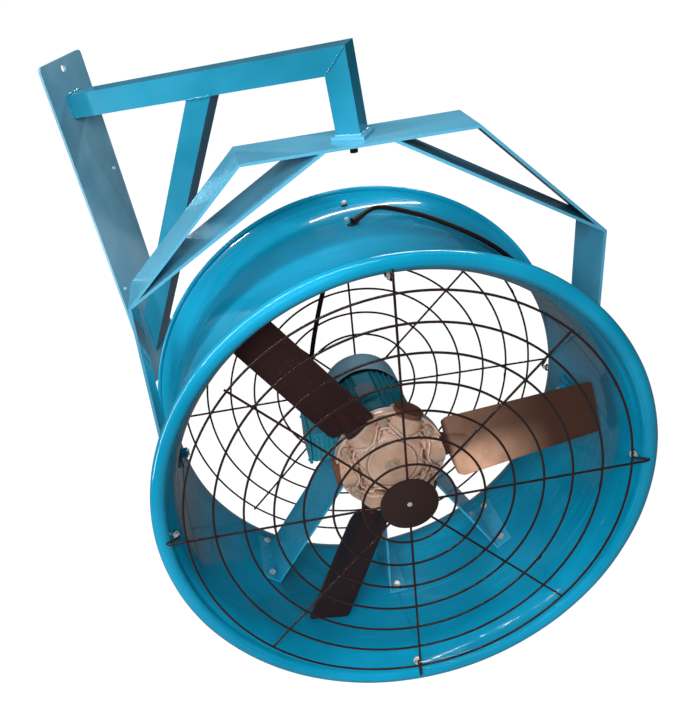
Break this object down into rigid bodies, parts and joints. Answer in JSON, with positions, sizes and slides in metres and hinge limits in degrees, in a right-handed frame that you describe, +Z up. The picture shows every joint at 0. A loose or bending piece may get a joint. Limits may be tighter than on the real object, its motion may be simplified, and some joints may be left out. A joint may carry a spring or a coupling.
{
  "type": "axial air mover",
  "caption": "Wall-mounted axial air mover: a steel bracket and bent yoke carry a tilting drum with wire guards, a motor and an impeller of straight dark blades.",
  "frame": {"origin": "centre of the wall plate's back face, where it meets the wall", "axes": "+X out from the wall along the arm, +Z up, so the drum's mouth looks towards -Y and partly +X"},
  "size_m": [1.1877, 0.962, 1.4449],
  "materials": {
    "blue_paint": "gloss",
    "motor_paint": "semi-gloss",
    "black_coat": "satin",
    "hub_alloy": "satin",
    "blade_plastic": "matte",
    "zinc_steel": "satin",
    "dark_steel": "matte",
    "cord_rubber": "matte",
    "plug_plastic": "matte"
  },
  "bodies": {
    "bracket": {"wall_plate": "blue_paint", "arm_tube": "blue_paint", "drop_tube": "blue_paint", "brace_tube": "blue_paint", "pivot_flange": "blue_paint", "pivot_bolt": "dark_steel", "pivot_washer": "dark_steel", "pivot_nut": "dark_steel"},
    "yoke": {"yoke_bar": "blue_paint", "gusset_left": "blue_paint", "gusset_right": "blue_paint"},
    "drum": {"drum_shell": "blue_paint", "tilt_bosses": "blue_paint", "tilt_bolts": "zinc_steel", "tilt_washers": "zinc_steel", "tilt_nuts": "zinc_steel", "front_guard_rings": "black_coat", "front_guard_spokes": "black_coat", "front_guard_disc": "black_coat", "guard_bolts": "zinc_steel", "rear_guard_rings": "black_coat", "rear_guard_spokes": "black_coat", "motor_base": "blue_paint", "leg_left": "blue_paint", "leg_middle": "blue_paint", "leg_right": "blue_paint", "leg_bolts": "zinc_steel", "motor_feet_bolts": "zinc_steel", "motor_frame": "motor_paint", "motor_shield_front": "motor_paint", "motor_shield_rear": "motor_paint", "stator": "dark_steel", "motor_bearings": "zinc_steel", "fan_cowl": "blue_paint", "terminal_box": "motor_paint", "terminal_lid": "motor_paint", "motor_lead": "cord_rubber", "cord_grommet": "cord_rubber", "drum_screw": "zinc_steel", "power_cord": "cord_rubber", "cord_coil": "cord_rubber", "cord_tie": "plug_plastic", "cord_tail": "cord_rubber", "plug": "plug_plastic"},
    "impeller": {"hub_front": "hub_alloy", "hub_rear": "hub_alloy", "blade_1": "blade_plastic", "blade_2": "blade_plastic", "blade_3": "blade_plastic", "pocket_blanks": "blade_plastic", "hub_bolts": "zinc_steel", "centre_bolt": "zinc_steel", "shaft": "zinc_steel", "rotor": "dark_steel", "cooling_fan": "plug_plastic"}
  },
  "joints": [
    {"name": "yoke_swivel", "type": "hinge", "parent": "bracket", "child": "yoke", "pos_m": [0.631, 0, 0.147], "axis": [0.0954, 0.0524, 0.9941], "range_deg": [-15, 132]},
    {"name": "drum_tilt", "type": "hinge", "parent": "yoke", "child": "drum", "pos_m": [0.56646, -0.03548, -0.52548], "axis": [0.8711, 0.4789, -0.1089], "range_deg": [-24, 30]},
    {"name": "impeller_spin", "type": "hinge", "parent": "drum", "child": "impeller", "pos_m": [0.56646, -0.03548, -0.52548], "axis": [0.4851, -0.8736, 0.0382], "continuous": true}
  ]
}
